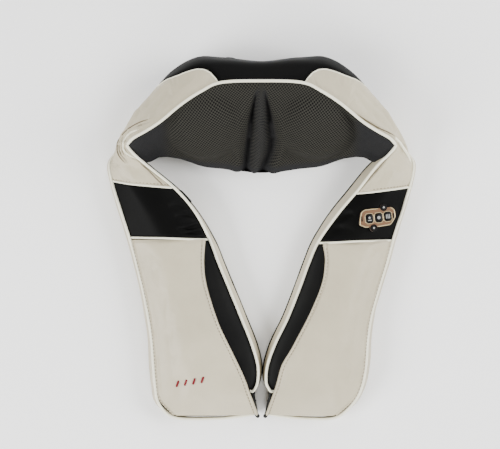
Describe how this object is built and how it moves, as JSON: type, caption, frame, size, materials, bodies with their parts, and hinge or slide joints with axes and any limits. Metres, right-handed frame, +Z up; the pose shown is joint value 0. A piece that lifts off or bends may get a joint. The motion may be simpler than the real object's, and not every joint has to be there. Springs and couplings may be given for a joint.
{
  "type": "shiatsu neck massager",
  "caption": "Padded shiatsu neck and shoulder massager: mesh-covered pad with twin rotating heads, two swinging arms with hand pockets and a control unit.",
  "frame": {"origin": "centre of the bounding box, at the height of the surface it rests on", "axes": "+Z up, +Y towards the back of the neck pad, +X towards the arm with the control unit"},
  "size_m": [0.406, 0.4811, 0.1003],
  "materials": {
    "black_leather": "semi-matt, fine grain",
    "pale_leather": "semi-matt, fine grain",
    "piping": "smooth cord cover",
    "spacer_mesh": "knitted, open holes",
    "lining": "plain woven",
    "frame_plastic": "fine spark texture",
    "node_plastic": "smooth",
    "steel": "turned",
    "nylon": "moulded",
    "bronze": "sintered",
    "circuit_board": "solder mask",
    "lamp": "clear red",
    "copper_trim": "warm satin plating",
    "keys": "smooth"
  },
  "bodies": {
    "collar": {"pad_cover_centre": "black_leather", "pad_cover_left": "pale_leather", "pad_cover_right": "pale_leather", "mesh_cover": "spacer_mesh", "shoulder_pad_left": "pale_leather", "shoulder_pad_right": "pale_leather", "neck_piping": "piping", "gearbox_base": "frame_plastic", "gearbox_cover": "frame_plastic", "screw_1": "steel", "screw_2": "steel", "screw_3": "steel", "screw_4": "steel", "bush_lower_left": "bronze", "bush_upper_left": "bronze", "bush_lower_right": "bronze", "bush_upper_right": "bronze", "motor_can": "steel", "heat_lamp_left": "lamp", "heat_lamp_right": "lamp", "main_board": "circuit_board", "power_inlet": "frame_plastic"},
    "head_left": {"worm_wheel_left": "nylon", "output_shaft_left": "steel", "node_carrier_left": "frame_plastic"},
    "head_right": {"worm_wheel_right": "nylon", "output_shaft_right": "steel", "node_carrier_right": "frame_plastic"},
    "worm": {"worm_shaft": "steel"},
    "node_left_1": {"massage_node_left_1": "node_plastic"},
    "node_left_2": {"massage_node_left_2": "node_plastic"},
    "node_left_3": {"massage_node_left_3": "node_plastic"},
    "node_left_4": {"massage_node_left_4": "node_plastic"},
    "node_right_1": {"massage_node_right_1": "node_plastic"},
    "node_right_2": {"massage_node_right_2": "node_plastic"},
    "node_right_3": {"massage_node_right_3": "node_plastic"},
    "node_right_4": {"massage_node_right_4": "node_plastic"},
    "arm_left": {"arm_root_left": "pale_leather", "band_left": "black_leather", "arm_pad_left": "pale_leather", "pocket_lining_left": "lining", "pocket_panel_left": "pale_leather", "arm_piping_left": "piping", "side_tab": "black_leather"},
    "arm_right": {"arm_root_right": "pale_leather", "band_right": "black_leather", "arm_pad_right": "pale_leather", "pocket_lining_right": "lining", "pocket_panel_right": "pale_leather", "arm_piping_right": "piping", "control_bezel": "copper_trim", "control_tray": "frame_plastic", "control_board": "circuit_board"},
    "key_main_1_body": {"key_main_1": "keys"},
    "key_main_2_body": {"key_main_2": "keys"},
    "key_main_3_body": {"key_main_3": "keys"},
    "key_small_1_body": {"key_small_1": "keys"},
    "key_small_2_body": {"key_small_2": "keys"}
  },
  "joints": [
    {"name": "head_right_spin", "type": "hinge", "parent": "collar", "child": "head_right", "pos_m": [0.072, 0.14645, 0.05923], "axis": [0, -0.5878, 0.809], "continuous": true},
    {"name": "head_left_spin", "type": "hinge", "parent": "collar", "child": "head_left", "pos_m": [-0.072, 0.14645, 0.05923], "axis": [0, -0.5878, 0.809], "continuous": true},
    {"name": "worm_shaft_spin", "type": "hinge", "parent": "collar", "child": "worm", "pos_m": [0, 0.1866, 0.03834], "axis": [1, 0, 0], "continuous": true},
    {"name": "node_left_1_spin", "type": "hinge", "parent": "head_left", "child": "node_left_1", "pos_m": [-0.045, 0.14821, 0.05681], "axis": [0, -0.5878, 0.809], "continuous": true},
    {"name": "node_left_2_spin", "type": "hinge", "parent": "head_left", "child": "node_left_2", "pos_m": [-0.072, 0.17072, 0.07007], "axis": [0, -0.5878, 0.809], "continuous": true},
    {"name": "node_left_3_spin", "type": "hinge", "parent": "head_left", "child": "node_left_3", "pos_m": [-0.099, 0.14821, 0.05681], "axis": [0, -0.5878, 0.809], "continuous": true},
    {"name": "node_left_4_spin", "type": "hinge", "parent": "head_left", "child": "node_left_4", "pos_m": [-0.072, 0.12865, 0.0395], "axis": [0, -0.5878, 0.809], "continuous": true},
    {"name": "node_right_1_spin", "type": "hinge", "parent": "head_right", "child": "node_right_1", "pos_m": [0.099, 0.14821, 0.05681], "axis": [0, -0.5878, 0.809], "continuous": true},
    {"name": "node_right_2_spin", "type": "hinge", "parent": "head_right", "child": "node_right_2", "pos_m": [0.072, 0.17072, 0.07007], "axis": [0, -0.5878, 0.809], "continuous": true},
    {"name": "node_right_3_spin", "type": "hinge", "parent": "head_right", "child": "node_right_3", "pos_m": [0.045, 0.14821, 0.05681], "axis": [0, -0.5878, 0.809], "continuous": true},
    {"name": "node_right_4_spin", "type": "hinge", "parent": "head_right", "child": "node_right_4", "pos_m": [0.072, 0.12865, 0.0395], "axis": [0, -0.5878, 0.809], "continuous": true},
    {"name": "arm_right_swing", "type": "hinge", "parent": "collar", "child": "arm_right", "pos_m": [0.2035, 0.095, 0.02], "axis": [0, 0, 1], "range_deg": [0, 38]},
    {"name": "arm_left_swing", "type": "hinge", "parent": "collar", "child": "arm_left", "pos_m": [-0.2035, 0.095, 0.02], "axis": [0, 0, -1], "range_deg": [0, 38]},
    {"name": "key_main_1_press", "type": "slide", "parent": "arm_right", "child": "key_main_1_body", "axis": [-0.1384, -0.0145, -0.9903], "range_m": [0, 0.0012], "stiffness_N_per_m": 400, "springref_m": -0.0006},
    {"name": "key_main_2_press", "type": "slide", "parent": "arm_right", "child": "key_main_2_body", "axis": [-0.1384, -0.0145, -0.9903], "range_m": [0, 0.0012], "stiffness_N_per_m": 400, "springref_m": -0.0006},
    {"name": "key_main_3_press", "type": "slide", "parent": "arm_right", "child": "key_main_3_body", "axis": [-0.1384, -0.0145, -0.9903], "range_m": [0, 0.0012], "stiffness_N_per_m": 400, "springref_m": -0.0006},
    {"name": "key_small_1_press", "type": "slide", "parent": "arm_right", "child": "key_small_1_body", "axis": [-0.1384, -0.0145, -0.9903], "range_m": [0, 0.0012], "stiffness_N_per_m": 400, "springref_m": -0.0006},
    {"name": "key_small_2_press", "type": "slide", "parent": "arm_right", "child": "key_small_2_body", "axis": [-0.1384, -0.0145, -0.9903], "range_m": [0, 0.0012], "stiffness_N_per_m": 400, "springref_m": -0.0006}
  ],
  "couplings": [
    {"joint": "head_left_spin", "follows": "head_right_spin", "ratio": -1},
    {"joint": "worm_shaft_spin", "follows": "head_right_spin", "ratio": 20}
  ]
}
